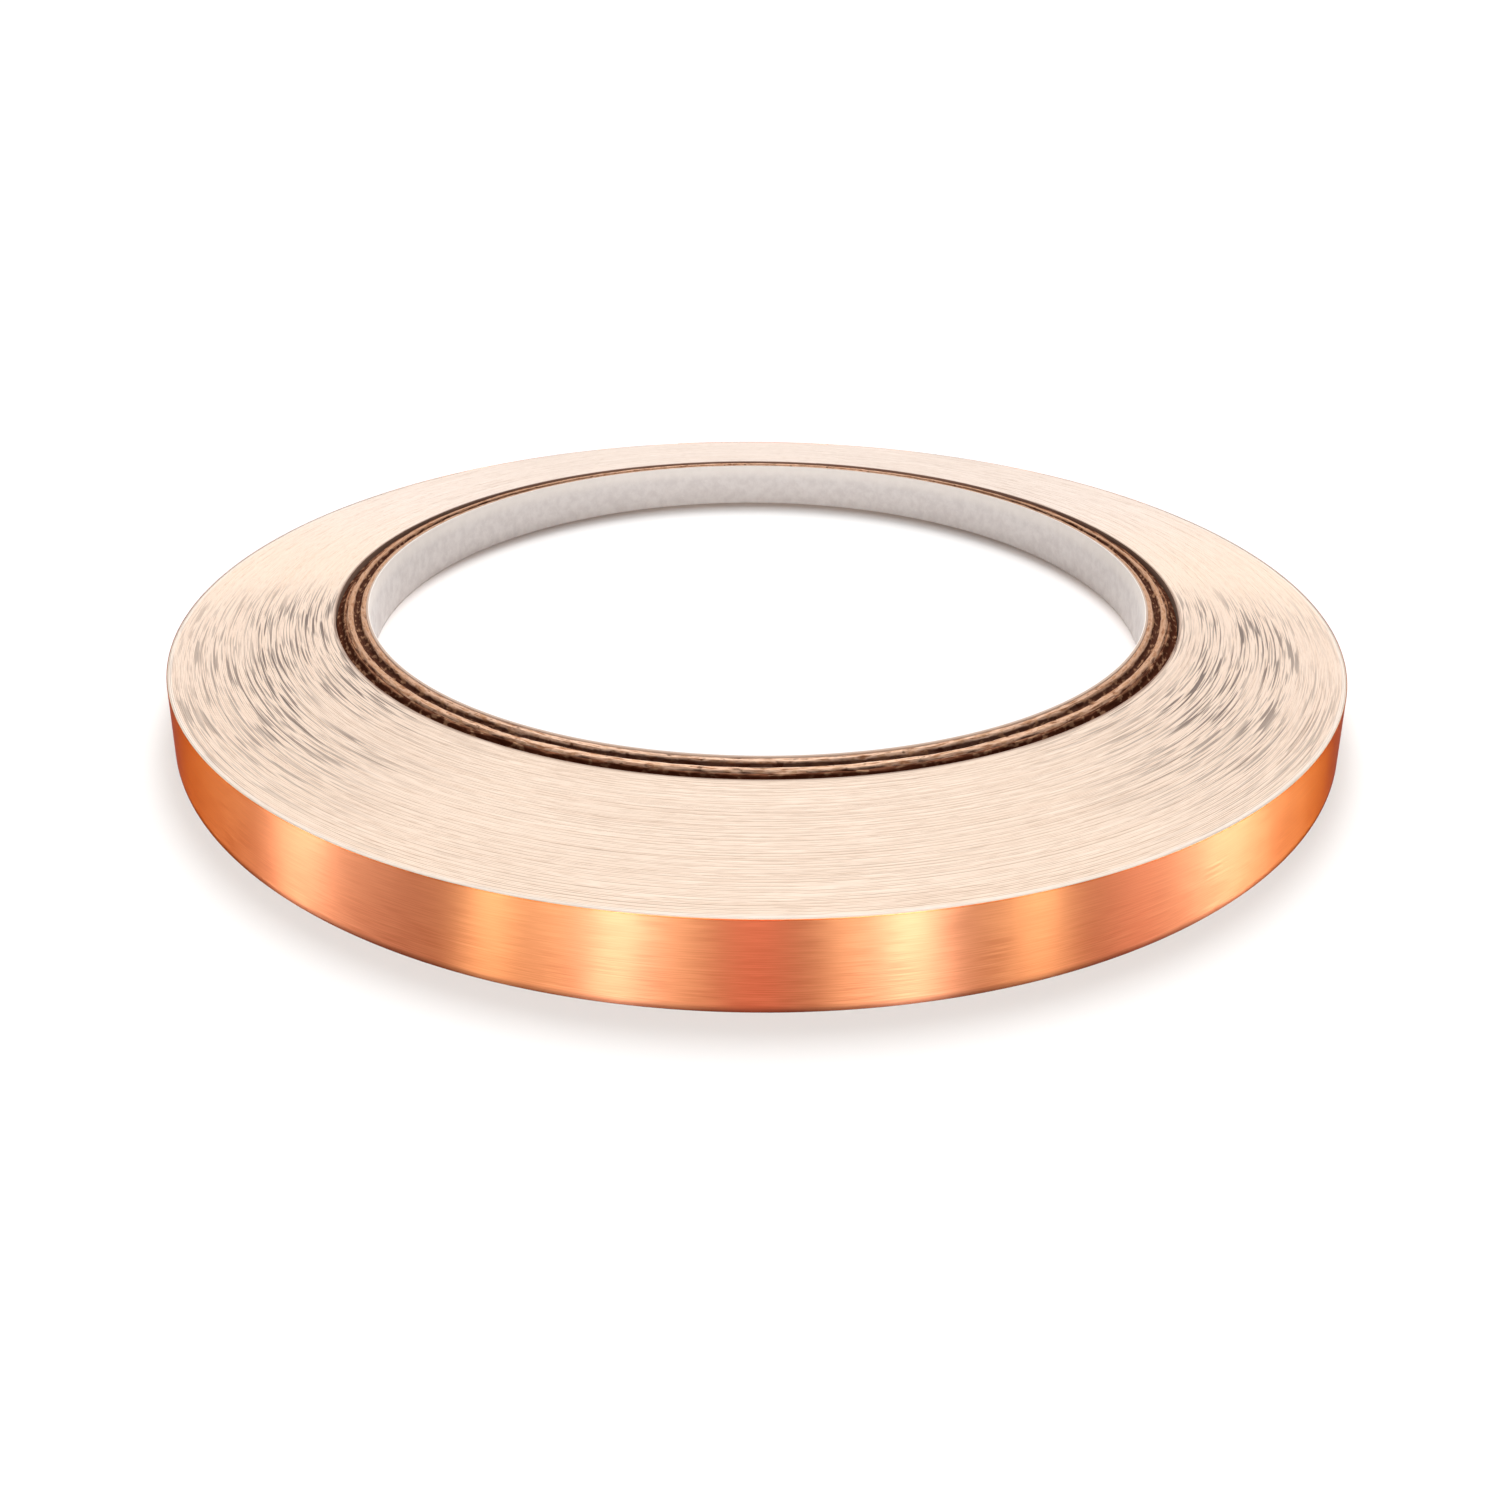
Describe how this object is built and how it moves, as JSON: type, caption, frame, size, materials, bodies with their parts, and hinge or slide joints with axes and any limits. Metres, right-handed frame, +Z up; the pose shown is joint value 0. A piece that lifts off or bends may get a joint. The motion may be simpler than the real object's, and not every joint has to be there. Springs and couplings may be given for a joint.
{
  "type": "copper foil tape roll",
  "caption": "Narrow adhesive copper foil tape wound on a paperboard core, with a free end that lifts off the roll and a foil leaf that peels off its release backing.",
  "frame": {"origin": "centre of the underside of the roll, on its axis, where it rests on a table", "axes": "+Z up along the roll's axis; the roll lies on its side; the free end of the tape is on the +Y side"},
  "size_m": [0.1067, 0.1067, 0.0056],
  "materials": {
    "liner_paper": "matt grey-white paper, faintly mottled",
    "board_inner": "rough cut edge of kraft board",
    "board_middle": "rough cut edge of kraft board",
    "board_outer": "rough cut edge of kraft board, darker at the outside",
    "wound_edge": "stacked cut edges of foil and release paper, fine concentric lines",
    "release_backing": "smooth coated paper",
    "adhesive": "clear tacky film",
    "copper_foil": "bright rolled copper, grain along the tape"
  },
  "bodies": {
    "roll": {"core_liner": "liner_paper", "core_ply_inner": "board_inner", "core_ply_middle": "board_middle", "core_ply_outer": "board_outer", "wound_turns": "wound_edge", "last_turn_backing": "release_backing", "last_turn_adhesive": "adhesive", "last_turn_foil": "copper_foil"},
    "tail": {"tail_backing": "release_backing", "tail_adhesive": "adhesive", "tail_foil": "copper_foil"},
    "leaf": {"leaf_adhesive": "adhesive", "leaf_foil": "copper_foil"}
  },
  "joints": [
    {"name": "tail_lift", "type": "hinge", "parent": "roll", "child": "tail", "pos_m": [0.0111, 0.05221, 0.00278], "axis": [0, 0, -1], "range_deg": [0, 75]},
    {"name": "leaf_peel", "type": "hinge", "parent": "tail", "child": "leaf", "pos_m": [0.00314, 0.05327, 0.00278], "axis": [0, 0, -1], "range_deg": [0, 85]}
  ]
}
